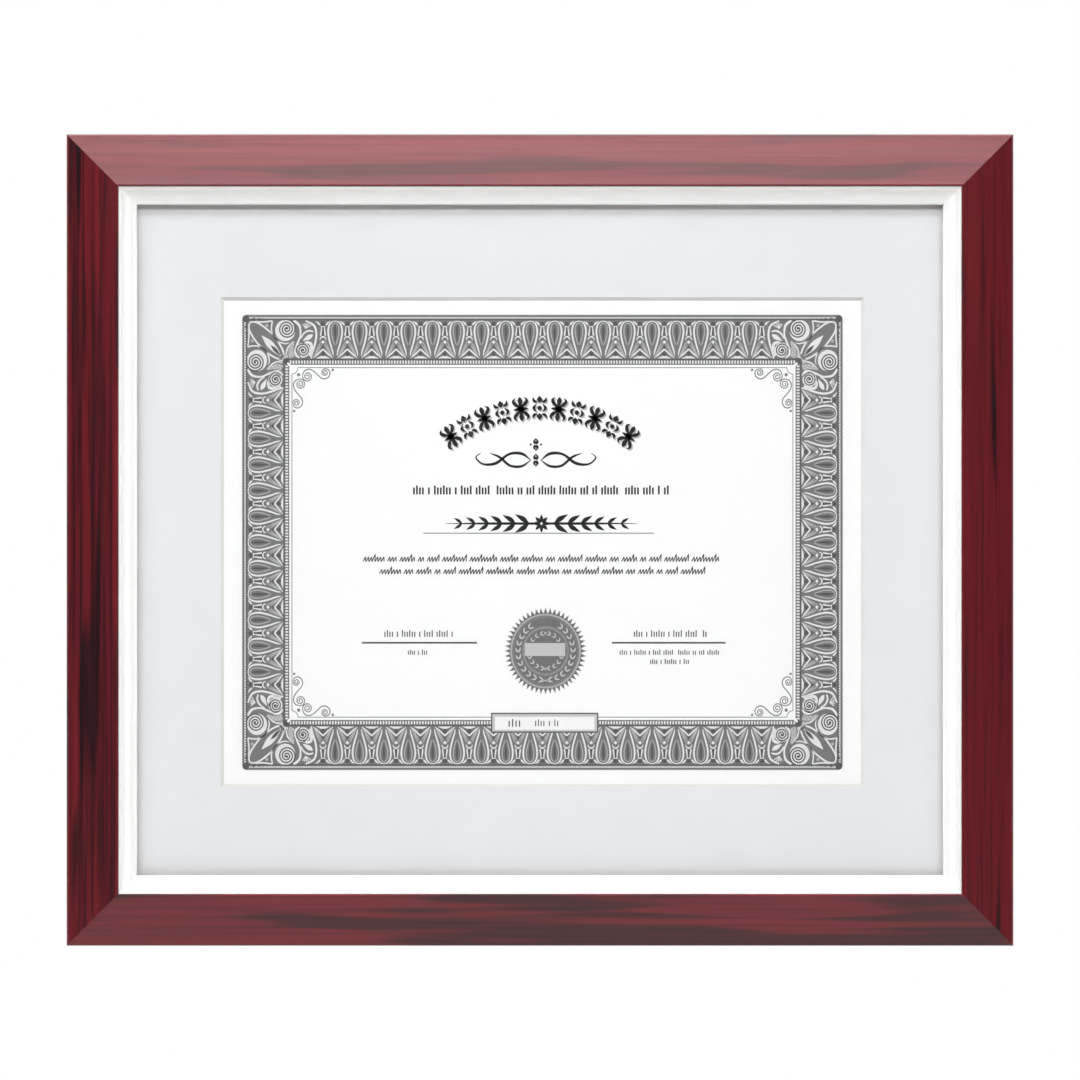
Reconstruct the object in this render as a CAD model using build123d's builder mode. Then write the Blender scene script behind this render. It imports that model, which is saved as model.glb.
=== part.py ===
from build123d import *
from math import sqrt
import os

os.makedirs("parts", exist_ok=True)

# The printed sheet lies across, behind a mat whose window covers its edges.
sheet_width = 279.4
sheet_height = 215.9
sheet_thickness = 0.25
window_overlap = 6.35
mat_side_margin = 33.45
mat_end_margin = 37.2
window_shift_right = 1.0
window_shift_down = 1.0

# Section of the wood moulding, measured inwards from its outer face and forwards from its back.
face_width = 21.9
edge_height = 15.0
crest_height = 22.0
face_bulge = 0.55
edge_radius = 1.4
crest_radius = 0.7
rebate_lap = 5.6
lip_thickness = 1.6
lip_setback = 0.7

# Section of the silver slip that stands on the moulding's inner shoulder.
slip_width = 7.2
slip_step = 1.4
slip_shoulder_width = 1.2
slip_shoulder_drop = 0.45
slip_cove_depth = 0.75
slip_bead_width = 1.4
slip_bead_height = 1.8
slip_bead_foot = 0.5
slip_bead_swell = 0.35

# Layers that fill the rebate, from the glass at the front to the panel at the back.
glass_thickness = 2.0
mat_thickness = 1.4
mat_bevel_angle = 45
glass_play = 0.05
tape_thickness = 0.1
filler_thickness = 4.7
panel_thickness = 3.0
panel_play = 0.1
edge_clearance = 0.5
panel_edge_clearance = 0.8

# Paper hinges that hang the sheet on the back of the mat.
tape_width = 22.0
tape_lap = 14.0
tape_spread_share = 0.5

# V-shaped nails that are driven across each mitre from the back.
v_nail_height = 10.0
v_nail_thickness = 0.7
v_nail_arm = 6.5
v_nail_half_angle = 52
v_nail_places_shares = (0.3, 0.7)

# Flat steel turn buttons and their pan-head screws, two on each rail.
button_length = 24.0
button_width = 10.0
button_thickness = 1.0
button_play = 0.1
button_bore_clearance = 0.08
button_edge_round = 0.2
button_spread_share = 0.5
screw_setback = 8.0
screw_shank_radius = 1.5
screw_shank_length = 9.0
screw_point_length = 2.5
screw_head_radius = 3.1
screw_head_height = 1.6
screw_head_round = 0.9
screw_recess_width = 0.8
screw_recess_length = 3.2
screw_recess_depth = 0.8
pilot_clearance = 0.02

# Sawtooth hangers: a strip whose raised middle catches the wall nail in its teeth.
hanger_length = 46.0
hanger_width = 9.5
hanger_thickness = 0.8
hanger_raise = 1.8
hanger_flat = 8.0
hanger_ramp = 2.2
notch_pitch = 2.5
notch_width = 2.0
notch_depth = 1.3
nail_shank_radius = 0.7
nail_shank_length = 9.0
nail_point_length = 1.6
nail_head_radius = 1.7
nail_head_height = 0.7
nail_head_round = 0.3
nail_hole_clearance = 0.1

# Soft bumpers keep the frame off the wall.
bumper_height = 4.0
bumper_radius = 5.0
bumper_round = 0.9
bumper_inset = 32.0

cut_overrun = 2.0

# Sizes that follow from the ones above.
window_width = sheet_width - 2 * window_overlap
window_height = sheet_height - 2 * window_overlap
sight_width = window_width + 2 * mat_side_margin
sight_height = window_height + 2 * mat_end_margin
moulding_width = face_width + slip_width
frame_width = sight_width + 2 * moulding_width
frame_height = sight_height + 2 * moulding_width
back_width = moulding_width - rebate_lap
rebate_width = frame_width - 2 * back_width
rebate_height = frame_height - 2 * back_width

# Heights of the layers' faces above the rails' backs.
panel_back = panel_play
filler_back = panel_back + panel_thickness
tape_back = filler_back + filler_thickness
sheet_back = tape_back + tape_thickness
mat_back = sheet_back + sheet_thickness
mat_front = mat_back + mat_thickness
glass_back = mat_front + glass_play
rebate_depth = glass_back + glass_thickness
shoulder_height = rebate_depth + lip_thickness

# The origin is the centre notch of the hanger on the top rail, on the wall.
notch_depth_from_edge = (back_width + hanger_width) / 2 - notch_depth
centre_z = notch_depth_from_edge - frame_height / 2

forwards = Vector(0, -1, 0)
backwards = Vector(0, 1, 0)
across = Vector(1, 0, 0)
upwards = Vector(0, 0, 1)

# Each side has its outward direction, the direction of its run, its length and the names of its ends.
sides = {
    "top": (upwards, across, frame_width, ("left", "right")),
    "bottom": (-upwards, across, frame_width, ("left", "right")),
    "left": (-across, upwards, frame_height, ("lower", "upper")),
    "right": (across, upwards, frame_height, ("lower", "upper")),
}


def layer_plane(height):
    """Plane that faces the viewer at a height above the rails' backs, centred on the frame."""
    return Plane((0, -bumper_height - height, centre_z), x_dir=across, z_dir=forwards)


def window_plane(height):
    """The layer plane moved to the middle of the mat's window."""
    layer = layer_plane(height)
    return layer.shift_origin(layer.from_local_coords((window_shift_right, -window_shift_down)))


def outer_middle(side):
    """Middle of a side's outer edge, on the plane of the rails' backs."""
    outward = sides[side][0]
    reach = Vector(outward.X * frame_width / 2, 0, outward.Z * frame_height / 2)
    return layer_plane(0).origin + reach


def section_plane(side):
    """Plane across a side at its middle: x runs inwards from the outer face, y forwards from the back."""
    inward = -sides[side][0]
    return Plane(outer_middle(side), x_dir=inward, z_dir=inward.cross(forwards))


def mitre_planes(side):
    """The two mitre cuts of a side. Each plane's normal points away from the side."""
    outward, run, length, _ = sides[side]
    return [Plane(outer_middle(side) + run * (end * length / 2), z_dir=run * end - outward) for end in (-1, 1)]


def back_plane(side, along, inset):
    """Plane on a rail's back that faces the wall, at a place along the rail and in from its outer face."""
    outward, run, _, _ = sides[side]
    return Plane(outer_middle(side) + run * along - outward * inset, x_dir=-outward, z_dir=backwards)


def screw_planes(side):
    """The seats of a side's two turn buttons, by the name of the end that each is nearer to."""
    _, _, length, ends = sides[side]
    half_spread = length * button_spread_share / 2
    inset = back_width - screw_setback
    return {ends[0]: back_plane(side, -half_spread, inset), ends[1]: back_plane(side, half_spread, inset)}


def hanger_nail_planes(side):
    """The seats of a hanger's two nails on a side's back."""
    reach = (hanger_length - hanger_flat) / 2
    return [back_plane(side, along, back_width / 2) for along in (-reach, reach)]


# V-nails: a bent strip whose fold lies on the mitre, with one arm in each rail, flush with the backs.
with BuildPart() as v_nails:
    for side_x in (-1, 1):
        for side_z in (-1, 1):
            corner = layer_plane(0).origin + Vector(side_x * frame_width / 2, 0, side_z * frame_height / 2)
            with BuildSketch(Plane(corner, x_dir=(-side_x, 0, -side_z), z_dir=forwards)):
                for place in v_nail_places_shares:
                    with Locations((place * back_width * sqrt(2), 0)):
                        for turn in (-v_nail_half_angle, v_nail_half_angle):
                            Rectangle(v_nail_arm, v_nail_thickness, rotation=turn, align=(Align.MIN, Align.CENTER))
            extrude(amount=v_nail_height)
v_nails.part.label = "corner_v_nails"
export_step(v_nails.part, "parts/corner_v_nails.step")

# Turn-button screws: pan heads with a cross recess, plain shanks where the thread is, and points.
with BuildPart() as screws:
    head_seat = button_play + button_thickness + button_play
    for side in sides:
        for seat in screw_planes(side).values():
            with BuildSketch(seat.offset(head_seat)):
                Circle(screw_head_radius)
            extrude(amount=screw_head_height)
            head_rim = screws.edges(Select.LAST).filter_by(GeomType.CIRCLE).group_by(Axis.Y)[-1]
            fillet(head_rim, screw_head_round)
            with BuildSketch(seat.offset(head_seat + screw_head_height - screw_recess_depth)):
                Rectangle(screw_recess_length, screw_recess_width)
                Rectangle(screw_recess_width, screw_recess_length)
            extrude(amount=screw_recess_depth, mode=Mode.SUBTRACT)
            with BuildSketch(seat.offset(head_seat)):
                Circle(screw_shank_radius)
            extrude(amount=-(head_seat + screw_shank_length))
            tip = screws.edges(Select.LAST).filter_by(GeomType.CIRCLE).group_by(Axis.Y)[0]
            chamfer(tip, screw_point_length, screw_shank_radius - pilot_clearance)
screws.part.label = "turn_button_screws"
export_step(screws.part, "parts/turn_button_screws.step")

# Hanger nails: low round heads on thin pointed shanks.
with BuildPart() as nails:
    for side in ("top", "left"):
        for seat in hanger_nail_planes(side):
            with BuildSketch(seat.offset(hanger_thickness)):
                Circle(nail_head_radius)
            extrude(amount=nail_head_height)
            head_rim = nails.edges(Select.LAST).filter_by(GeomType.CIRCLE).group_by(Axis.Y)[-1]
            fillet(head_rim, nail_head_round)
            with BuildSketch(seat.offset(hanger_thickness)):
                Circle(nail_shank_radius)
            extrude(amount=-(hanger_thickness + nail_shank_length))
            tip = nails.edges(Select.LAST).filter_by(GeomType.CIRCLE).group_by(Axis.Y)[0]
            chamfer(tip, nail_point_length, nail_shank_radius - pilot_clearance)
nails.part.label = "hanger_nails"
export_step(nails.part, "parts/hanger_nails.step")

# Rails: a reverse moulding that slopes from its inner crest out to a low rounded edge.
for side, (_, _, length, _) in sides.items():
    with BuildPart() as rail:
        with BuildSketch(section_plane(side)) as section:
            with BuildLine():
                Polyline(
                    (0, edge_height),
                    (0, 0),
                    (back_width, 0),
                    (back_width, rebate_depth),
                    (moulding_width - lip_setback, rebate_depth),
                    (moulding_width - lip_setback, shoulder_height),
                    (face_width, shoulder_height),
                    (face_width, crest_height),
                )
                SagittaArc((face_width, crest_height), (0, edge_height), -face_bulge)
            make_face()
            fillet(section.vertices().group_by(Axis.X)[0].sort_by(Axis.Y)[-1], edge_radius)
            fillet(section.vertices().sort_by(Axis.Y)[-1], crest_radius)
        extrude(amount=length / 2, both=True)
        for mitre in mitre_planes(side):
            split(bisect_by=mitre, keep=Keep.BOTTOM)
        add(v_nails.part, mode=Mode.SUBTRACT)
        with Locations(*screw_planes(side).values()):
            Hole(screw_shank_radius + pilot_clearance, depth=screw_shank_length)
        if side in ("top", "left"):
            with Locations(*hanger_nail_planes(side)):
                Hole(nail_shank_radius + pilot_clearance, depth=nail_shank_length)
    rail.part.label = f"{side}_rail"
    export_step(rail.part, f"parts/{side}_rail.step")

# Slips: a rounded shoulder, a cove and a small bead at the sight edge.
slip_top = crest_height - slip_step
cove_top = (face_width + slip_shoulder_width, slip_top - slip_shoulder_drop)
cove_foot = (moulding_width - slip_bead_width, shoulder_height + slip_bead_height)
bead_foot = (moulding_width, shoulder_height + slip_bead_foot)
for side, (_, _, length, _) in sides.items():
    with BuildPart() as slip:
        with BuildSketch(section_plane(side)):
            with BuildLine():
                Line(cove_top, (face_width, slip_top))
                Line((face_width, slip_top), (face_width, shoulder_height))
                Line((face_width, shoulder_height), (moulding_width, shoulder_height))
                Line((moulding_width, shoulder_height), bead_foot)
                SagittaArc(bead_foot, cove_foot, -slip_bead_swell)
                SagittaArc(cove_foot, cove_top, slip_cove_depth)
            make_face()
        extrude(amount=length / 2, both=True)
        for mitre in mitre_planes(side):
            split(bisect_by=mitre, keep=Keep.BOTTOM)
    slip.part.label = f"{side}_slip"
    export_step(slip.part, f"parts/{side}_slip.step")

# Glass pane: seated on the rails' lips, with room for the rebate all round.
with BuildPart() as glass:
    with BuildSketch(layer_plane(glass_back)):
        Rectangle(rebate_width - 2 * edge_clearance, rebate_height - 2 * edge_clearance)
    extrude(amount=glass_thickness)
glass.part.label = "glass_pane"
export_step(glass.part, "parts/glass_pane.step")

# Mat board: the window's bevel narrows towards the sheet.
with BuildPart() as mat:
    with BuildSketch(layer_plane(mat_back)):
        Rectangle(rebate_width - 2 * edge_clearance, rebate_height - 2 * edge_clearance)
    extrude(amount=mat_thickness)
    with BuildSketch(window_plane(mat_front)):
        Rectangle(window_width, window_height)
    extrude(amount=-mat_thickness, taper=mat_bevel_angle, mode=Mode.SUBTRACT)
mat.part.label = "mat_board"
export_step(mat.part, "parts/mat_board.step")

# Certificate sheet: flat behind the mat, centred on its window.
with BuildPart() as sheet:
    with BuildSketch(window_plane(sheet_back)):
        Rectangle(sheet_width, sheet_height)
    extrude(amount=sheet_thickness)
sheet.part.label = "certificate_sheet"
export_step(sheet.part, "parts/certificate_sheet.step")

# Hinge tapes: half on the sheet's back and half on the mat's back, over the sheet's top edge.
with BuildPart() as tapes:
    for place in (-1, 1):
        middle = window_plane(0).from_local_coords((place * sheet_width * tape_spread_share / 2, sheet_height / 2))
        with BuildSketch(Plane(middle, x_dir=upwards, z_dir=upwards.cross(forwards))):
            with BuildLine():
                Polyline(
                    (-tape_lap, sheet_back),
                    (0, sheet_back),
                    (0, mat_back),
                    (tape_lap, mat_back),
                    (tape_lap, mat_back - tape_thickness),
                    (tape_thickness, mat_back - tape_thickness),
                    (tape_thickness, sheet_back - tape_thickness),
                    (-tape_lap, sheet_back - tape_thickness),
                    close=True,
                )
            make_face()
        extrude(amount=tape_width / 2, both=True)
tapes.part.label = "hinge_tapes"
export_step(tapes.part, "parts/hinge_tapes.step")

# Filler board: presses the sheet and the mat against the glass.
with BuildPart() as filler:
    with BuildSketch(layer_plane(filler_back)):
        Rectangle(rebate_width - 2 * edge_clearance, rebate_height - 2 * edge_clearance)
    extrude(amount=filler_thickness)
filler.part.label = "filler_board"
export_step(filler.part, "parts/filler_board.step")

# Back panel: almost flush with the rails' backs, so that the turn buttons lie flat on both.
with BuildPart() as panel:
    with BuildSketch(layer_plane(panel_back)):
        Rectangle(rebate_width - 2 * panel_edge_clearance, rebate_height - 2 * panel_edge_clearance)
    extrude(amount=panel_thickness)
panel.part.label = "back_panel"
export_step(panel.part, "parts/back_panel.step")

# Turn buttons: round-ended strips that point inwards over the panel when they lock it.
for side in sides:
    for end, seat in screw_planes(side).items():
        with BuildPart() as button:
            with BuildSketch(seat.offset(button_play)):
                with Locations(((button_length - button_width) / 2, 0)):
                    SlotOverall(button_length, button_width)
                Circle(screw_shank_radius + button_bore_clearance, mode=Mode.SUBTRACT)
            extrude(amount=button_thickness)
            back_face = button.faces().sort_by(Axis.Y)[-1]
            fillet(back_face.outer_wire().edges(), button_edge_round)
        button.part.label = f"{side}_{end}_turn_button"
        export_step(button.part, f"parts/{side}_{end}_turn_button.step")

# Sawtooth hangers: flat nailed ends, a raised middle and teeth on the edge that faces the panel.
middle_length = hanger_length - 2 * (hanger_flat + hanger_ramp)
notch_pairs = int((middle_length / 2 - notch_width / 2) // notch_pitch)
hanger_half = hanger_length / 2
ramp_foot = hanger_half - hanger_flat
ramp_top = ramp_foot - hanger_ramp
for side, name in (("top", "landscape_hanger"), ("left", "portrait_hanger")):
    rail_back = back_plane(side, 0, back_width / 2)
    run = rail_back.y_dir
    with BuildPart() as hanger:
        with BuildSketch(Plane(rail_back.origin, x_dir=run, z_dir=run.cross(backwards))):
            with BuildLine():
                Polyline(
                    (-hanger_half, 0),
                    (-ramp_foot, 0),
                    (-ramp_top, hanger_raise),
                    (ramp_top, hanger_raise),
                    (ramp_foot, 0),
                    (hanger_half, 0),
                    (hanger_half, hanger_thickness),
                    (ramp_foot, hanger_thickness),
                    (ramp_top, hanger_raise + hanger_thickness),
                    (-ramp_top, hanger_raise + hanger_thickness),
                    (-ramp_foot, hanger_thickness),
                    (-hanger_half, hanger_thickness),
                    close=True,
                )
            make_face()
        extrude(amount=hanger_width / 2, both=True)
        with BuildSketch(rail_back):
            for step in range(-notch_pairs, notch_pairs + 1):
                with BuildLine():
                    Polyline(
                        (hanger_width / 2 - notch_depth, step * notch_pitch),
                        (hanger_width / 2, step * notch_pitch - notch_width / 2),
                        (hanger_width / 2, step * notch_pitch + notch_width / 2),
                        close=True,
                    )
                make_face()
        extrude(amount=hanger_raise + hanger_thickness + cut_overrun, mode=Mode.SUBTRACT)
        with Locations(*(seat.offset(hanger_thickness) for seat in hanger_nail_planes(side))):
            Hole(nail_shank_radius + nail_hole_clearance, depth=hanger_thickness)
    hanger.part.label = name
    export_step(hanger.part, f"parts/{name}.step")

# Wall bumpers: soft pads near the four corners, with their outer faces on the wall.
for side in ("top", "bottom"):
    for end_name, end in (("left", -1), ("right", 1)):
        with BuildPart() as bumper:
            with BuildSketch(back_plane(side, end * (frame_width / 2 - bumper_inset), back_width / 2)):
                Circle(bumper_radius)
            extrude(amount=bumper_height)
            fillet(bumper.edges().filter_by(GeomType.CIRCLE).group_by(Axis.Y)[-1], bumper_round)
        bumper.part.label = f"{side}_{end_name}_bumper"
        export_step(bumper.part, f"parts/{side}_{end_name}_bumper.step")
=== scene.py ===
from math import cos, pi, radians, sin

import bpy
import numpy as np
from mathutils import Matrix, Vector


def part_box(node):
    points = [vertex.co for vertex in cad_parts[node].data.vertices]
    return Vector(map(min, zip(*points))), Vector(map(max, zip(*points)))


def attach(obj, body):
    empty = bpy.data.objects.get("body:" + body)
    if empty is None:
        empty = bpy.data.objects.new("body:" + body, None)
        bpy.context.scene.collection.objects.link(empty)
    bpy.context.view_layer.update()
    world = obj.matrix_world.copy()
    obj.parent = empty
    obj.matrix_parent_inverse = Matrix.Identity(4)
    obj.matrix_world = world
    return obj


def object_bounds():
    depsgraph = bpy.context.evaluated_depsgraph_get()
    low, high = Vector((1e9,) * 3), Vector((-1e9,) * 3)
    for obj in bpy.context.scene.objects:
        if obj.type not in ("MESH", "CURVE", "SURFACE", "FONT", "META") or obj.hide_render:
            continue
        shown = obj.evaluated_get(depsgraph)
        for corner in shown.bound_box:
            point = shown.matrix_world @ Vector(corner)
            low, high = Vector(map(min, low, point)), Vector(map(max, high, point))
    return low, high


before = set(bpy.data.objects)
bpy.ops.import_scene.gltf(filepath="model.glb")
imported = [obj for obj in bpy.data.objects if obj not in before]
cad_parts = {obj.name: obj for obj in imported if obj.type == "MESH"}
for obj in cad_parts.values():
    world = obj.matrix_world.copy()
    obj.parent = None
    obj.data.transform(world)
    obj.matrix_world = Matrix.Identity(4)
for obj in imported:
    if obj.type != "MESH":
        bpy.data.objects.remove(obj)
cad_box = [list(corner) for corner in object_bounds()]

# Rails. Four lengths of moulded fibreboard, wrapped at the mill in a paper foil that is printed with a dark
# burgundy wood grain and sealed with a satin lacquer, then cut at 45 degrees and nailed at the corners.
# The grain runs along each rail, turns over the outer edge and ends a few millimetres in on the back.
mm = 0.001
foil_red = "#62151D"
foil_dark = "#160B11"
foil_bright = "#84202A"
foil_roughness = 0.3
foil_turn_in = 3.5 * mm
lacquer_ior = 1.68
lacquer_tint = "#FFCDCF"
board_tan = "#A88860"
board_brown = "#8A6C48"
board_fibre = 1.2 * mm


def linear(colour):
    """An sRGB hex colour as linear red, green, blue and an alpha of one."""
    shares = [int(colour[place : place + 2], 16) / 255 for place in (1, 3, 5)]
    curved = [share / 12.92 if share <= 0.04045 else ((share + 0.055) / 1.055) ** 2.4 for share in shares]
    return curved + [1.0]


def new_material(name):
    """A material with an empty node tree, and that tree."""
    material = bpy.data.materials.new(name)
    material.use_nodes = True
    material.node_tree.nodes.clear()
    return material, material.node_tree


def add(tree, kind, sockets, **settings):
    """Adds one node with its settings. sockets names or numbers inputs that are in use, and gives each one
    a value, an output to link, or a node, whose first output in use is linked."""
    node = tree.nodes.new("ShaderNode" + kind)
    for name, value in settings.items():
        setattr(node, name, value)
    inputs = [socket for socket in node.inputs if socket.enabled]
    for name, value in sockets.items():
        socket = inputs[name] if isinstance(name, int) else next(s for s in inputs if s.name == name)
        if isinstance(value, bpy.types.Node):
            value = next(s for s in value.outputs if s.enabled)
        if isinstance(value, bpy.types.NodeSocket):
            tree.links.new(value, socket)
        else:
            socket.default_value = value
    return node


def dress(material, *nodes):
    """Gives CAD nodes one material."""
    for node in nodes:
        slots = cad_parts[node].data.materials
        slots.clear()
        slots.append(material)


def woodgrain_foil(side, outward, run, seed, cloud_share, streak_share, vein_share):
    """Printed foil over bare fibreboard. The grain is noise stretched along the run: broad dark clouds,
    streaks one to three millimetres wide, hair lines over all, and bright red veins. The shares say how much
    of each a rail has. They differ partly because sticks of foil differ, and partly as painted shade and
    light that makes some rails darker than others. The second coordinate counts outwards and then backwards,
    so that the grain turns over the outer edge."""
    material, tree = new_material(f"burgundy_woodgrain_foil_{side}")
    place = add(tree, "TexCoord", {})
    along = add(tree, "VectorMath", {0: place.outputs["Object"], 1: run / mm}, operation="DOT_PRODUCT")
    turned = (outward + Vector((0, 1, 0))) / mm
    over = add(tree, "VectorMath", {0: place.outputs["Object"], 1: turned}, operation="DOT_PRODUCT")
    grain = add(tree, "CombineXYZ", {"X": along, "Y": over, "Z": seed})

    def layer(length, width, detail, low, high):
        """A share from noise with features of length by width, in millimetres, between two of its values."""
        stretched = add(tree, "VectorMath", {0: grain, 1: (1 / length, 1 / width, 1)}, operation="MULTIPLY")
        pattern = {"Vector": stretched, "Scale": 1, "Detail": detail, "Distortion": 0.25}
        noise = add(tree, "TexNoise", pattern)
        between = {"Value": noise, "From Min": low, "From Max": high}
        return add(tree, "MapRange", between, interpolation_type="SMOOTHSTEP")

    clouds = layer(120, 9, 1, 0.68 - cloud_share, 0.8 - cloud_share)
    streaks = layer(85, 1.6, 2, 0.41, 0.71)
    hairs = layer(60, 0.55, 2, 0.48, 0.75)
    veins = layer(120, 3.2, 1, 0.46, 0.8)
    uneven = add(tree, "MapRange", {"Value": streaks, "To Min": 0.8})
    colour = linear(foil_red)
    passes = (
        (veins, vein_share, foil_bright),
        (streaks, streak_share, foil_dark),
        (clouds, uneven, foil_dark),
        (hairs, 0.25, foil_dark),
    )
    for pattern, share, tone in passes:
        cover = add(tree, "Math", {0: pattern, 1: share}, operation="MULTIPLY")
        colour = add(tree, "Mix", {"Factor": cover, "A": colour, "B": linear(tone)}, data_type="RGBA")

    # Board shows on the faces that look inwards behind the slips, and on the back past the foil's end.
    pulp = {"Vector": place.outputs["Object"], "Scale": 1 / board_fibre, "Detail": 4}
    fibres = add(tree, "TexNoise", pulp)
    tans = {"Factor": fibres, "A": linear(board_tan), "B": linear(board_brown)}
    board = add(tree, "Mix", tans, data_type="RGBA")
    inwards = add(tree, "VectorMath", {0: place.outputs["Normal"], 1: -outward}, operation="DOT_PRODUCT")
    facing_in = add(tree, "Math", {0: inwards, 1: 0.5}, operation="GREATER_THAN")
    depth = add(tree, "SeparateXYZ", {"Vector": place.outputs["Object"]}).outputs["Y"]
    slip_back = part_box("top_slip")[1].y - 0.1 * mm
    behind_slip = add(tree, "Math", {0: depth, 1: slip_back}, operation="GREATER_THAN")
    inner = add(tree, "Math", {0: behind_slip, 1: facing_in}, operation="MULTIPLY")
    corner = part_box(f"{side}_rail")[1] if sum(outward) > 0 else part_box(f"{side}_rail")[0]
    reach = add(tree, "VectorMath", {0: place.outputs["Object"], 1: outward}, operation="DOT_PRODUCT")
    foil_end = corner.dot(outward) - foil_turn_in
    past_foil = add(tree, "Math", {0: reach, 1: foil_end}, operation="LESS_THAN")
    wallwards = add(tree, "SeparateXYZ", {"Vector": place.outputs["Normal"]}).outputs["Y"]
    facing_wall = add(tree, "Math", {0: wallwards, 1: 0.7}, operation="GREATER_THAN")
    back = add(tree, "Math", {0: past_foil, 1: facing_wall}, operation="MULTIPLY")
    bare = add(tree, "Math", {0: inner, 1: back}, operation="MAXIMUM")

    dulled = {"Value": hairs, "To Min": foil_roughness, "To Max": foil_roughness + 0.06}
    sheen = add(tree, "MapRange", dulled)
    rougher = add(tree, "Math", {0: bare, 1: 0.5}, operation="MULTIPLY")
    pores = add(tree, "Bump", {"Strength": 0.12, "Distance": 0.05 * mm, "Height": hairs})
    shader = add(
        tree,
        "BsdfPrincipled",
        {
            "Base Color": add(tree, "Mix", {"Factor": bare, "A": colour, "B": board}, data_type="RGBA"),
            "Roughness": add(tree, "Math", {0: sheen, 1: rougher}, operation="ADD"),
            "IOR": lacquer_ior,
            "Specular Tint": linear(lacquer_tint),
            "Normal": pores,
        },
    )
    add(tree, "OutputMaterial", {"Surface": shader})
    return material


right, up = Vector((1, 0, 0)), Vector((0, 0, 1))
sides = {"top": (up, right), "bottom": (-up, right), "left": (-right, up), "right": (right, up)}
grain_seeds = {"top": 45.5, "bottom": 83.5, "left": 66.5, "right": 77.0}
# Each rail's shares of dark clouds, dark streaks and bright veins. They differ partly because sticks of foil
# differ, and partly as painted shade and light: they set each rail's overall tone to how light falls on it.
grain_and_painted_shade_shares = {
    "top": (0.1, 0.3, 0.3),
    "bottom": (0.22, 0.4, 0.35),
    "left": (0.19, 0.82, 0.55),
    "right": (0.1, 0.45, 0.2),
}
for side, (outward, run) in sides.items():
    foil = woodgrain_foil(side, outward, run, grain_seeds[side], *grain_and_painted_shade_shares[side])
    dress(foil, f"{side}_rail")

# Corner nails. Eight bent strips of bare spring steel, driven across the mitres until they are flush.
# Blank steel cut from coil: grey and bright, with fine drawn lines.
steel_grey = "#9A9DA0"
steel_shade = "#84878A"
bloom_size = 6 * mm


def plated_metal(name, colour, shade, roughness, grit, line_length):
    """A metal with its finish worn unevenly. Colour and gloss follow noise with the grit's size in
    millimetres, stretched by the line length where the metal was rolled or brushed."""
    material, tree = new_material(name)
    place = add(tree, "TexCoord", {})
    size = (1 / (line_length * mm), 1 / (grit * mm), 1 / (grit * mm))
    stretched = add(tree, "VectorMath", {0: place.outputs["Object"], 1: size}, operation="MULTIPLY")
    lines = add(tree, "TexNoise", {"Vector": stretched, "Scale": 1, "Detail": 3})
    bloom = add(tree, "TexNoise", {"Vector": place.outputs["Object"], "Scale": 1 / bloom_size, "Detail": 3})
    tone = add(tree, "Mix", {"Factor": bloom, "A": linear(colour), "B": linear(shade)}, data_type="RGBA")
    gloss = add(tree, "MapRange", {"Value": lines, "To Min": roughness - 0.1, "To Max": roughness + 0.12})
    bump = add(tree, "Bump", {"Strength": 0.2, "Distance": 0.02 * mm, "Height": lines})
    settings = {"Base Color": tone, "Metallic": 1.0, "Roughness": gloss, "Normal": bump}
    add(tree, "OutputMaterial", {"Surface": add(tree, "BsdfPrincipled", settings)})
    return material


spring_steel = plated_metal(
    "bare_spring_steel", steel_grey, steel_shade, roughness=0.42, grit=0.3, line_length=2
)
dress(spring_steel, "corner_v_nails")

# Slips. Four narrow mouldings with a rounded shoulder, a cove and a bead, glued inside the rails' crests.
# Wrapped in a pale silver foil: metal powder in a clear lacquer, soft and bright rather than mirror-like.
silver = "#F7F8F6"
silver_shade = "#F3F4F2"
foil_grit = 0.35 * mm
foil_grain_length = 18 * mm


def silver_foil(side, run):
    """Metal powder in lacquer: nearly white, a little metallic, with a faint drawn grain along the slip."""
    material, tree = new_material(f"silver_foil_{side}")
    place = add(tree, "TexCoord", {})
    size = [1 / foil_grit + (1 / foil_grain_length - 1 / foil_grit) * share for share in run]
    stretched = add(tree, "VectorMath", {0: place.outputs["Object"], 1: size}, operation="MULTIPLY")
    grain = add(tree, "TexNoise", {"Vector": stretched, "Scale": 1, "Detail": 2})
    tones = {"Factor": grain, "A": linear(silver), "B": linear(silver_shade)}
    tone = add(tree, "Mix", tones, data_type="RGBA")
    gloss = add(tree, "MapRange", {"Value": grain, "To Min": 0.28, "To Max": 0.4})
    settings = {"Base Color": tone, "Metallic": 0.1, "Roughness": gloss}
    add(tree, "OutputMaterial", {"Surface": add(tree, "BsdfPrincipled", settings)})
    return material


for side, (_, run) in sides.items():
    dress(silver_foil(side, run), f"{side}_slip")

# Glass. One pane of 2 mm float glass, cut to the rebate and held against the rails' lips by the layers
# behind. Clear, with polished faces and no tint to speak of at this thickness. Light on its way to and from
# the mat passes straight through it, so that the mat is lit once, without caustics.
glass_ior = 1.5
glass_material, tree = new_material("float_glass")
clear = add(
    tree,
    "BsdfPrincipled",
    {"Base Color": linear("#FEFFFF"), "Roughness": 0.0, "IOR": glass_ior, "Transmission Weight": 1.0},
)
through = add(tree, "BsdfTransparent", {})
rays = add(tree, "LightPath", {}).outputs
lighting = add(tree, "Math", {0: rays["Is Shadow Ray"], 1: rays["Is Diffuse Ray"]}, operation="MAXIMUM")
add(tree, "OutputMaterial", {"Surface": add(tree, "MixShader", {"Fac": lighting, 1: clear, 2: through})})
dress(glass_material, "glass_pane")
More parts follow.
